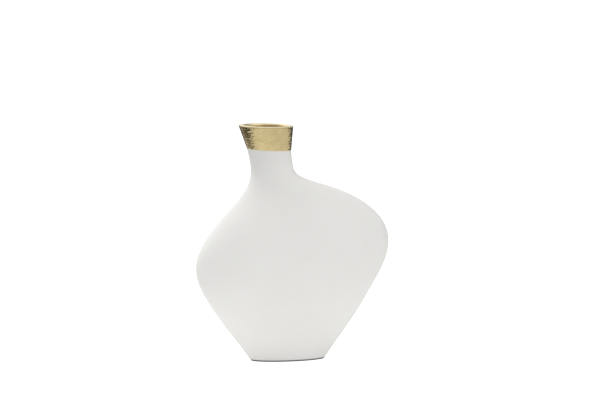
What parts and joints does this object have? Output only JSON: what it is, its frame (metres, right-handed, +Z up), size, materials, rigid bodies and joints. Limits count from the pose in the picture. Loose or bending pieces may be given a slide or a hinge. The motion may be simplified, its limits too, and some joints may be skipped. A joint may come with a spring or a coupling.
{
  "type": "vase",
  "caption": "Tall flat asymmetric porcelain flask vase, off-centre narrow neck with a flared hammered brass collar, on a thin felt base pad.",
  "frame": {"origin": "middle of the oval standing face, on the surface that the vase stands on", "axes": "+Z up through the vase, +X along the wide side towards the higher, fuller shoulder, +Y through the thin side, front facing -Y"},
  "size_m": [0.2599, 0.0982, 0.3075],
  "materials": {
    "matt_porcelain": "matt, unglazed bisque",
    "hammered_brass": "hammered, satin polish",
    "smooth_brass": "smooth, satin polish",
    "adhesive": "cured, dull",
    "dark_felt": "pressed felt"
  },
  "bodies": {
    "root": {"porcelain_body": "matt_porcelain", "collar_sleeve": "hammered_brass", "collar_liner": "smooth_brass", "collar_adhesive": "adhesive", "base_felt": "dark_felt"}
  },
  "joints": []
}
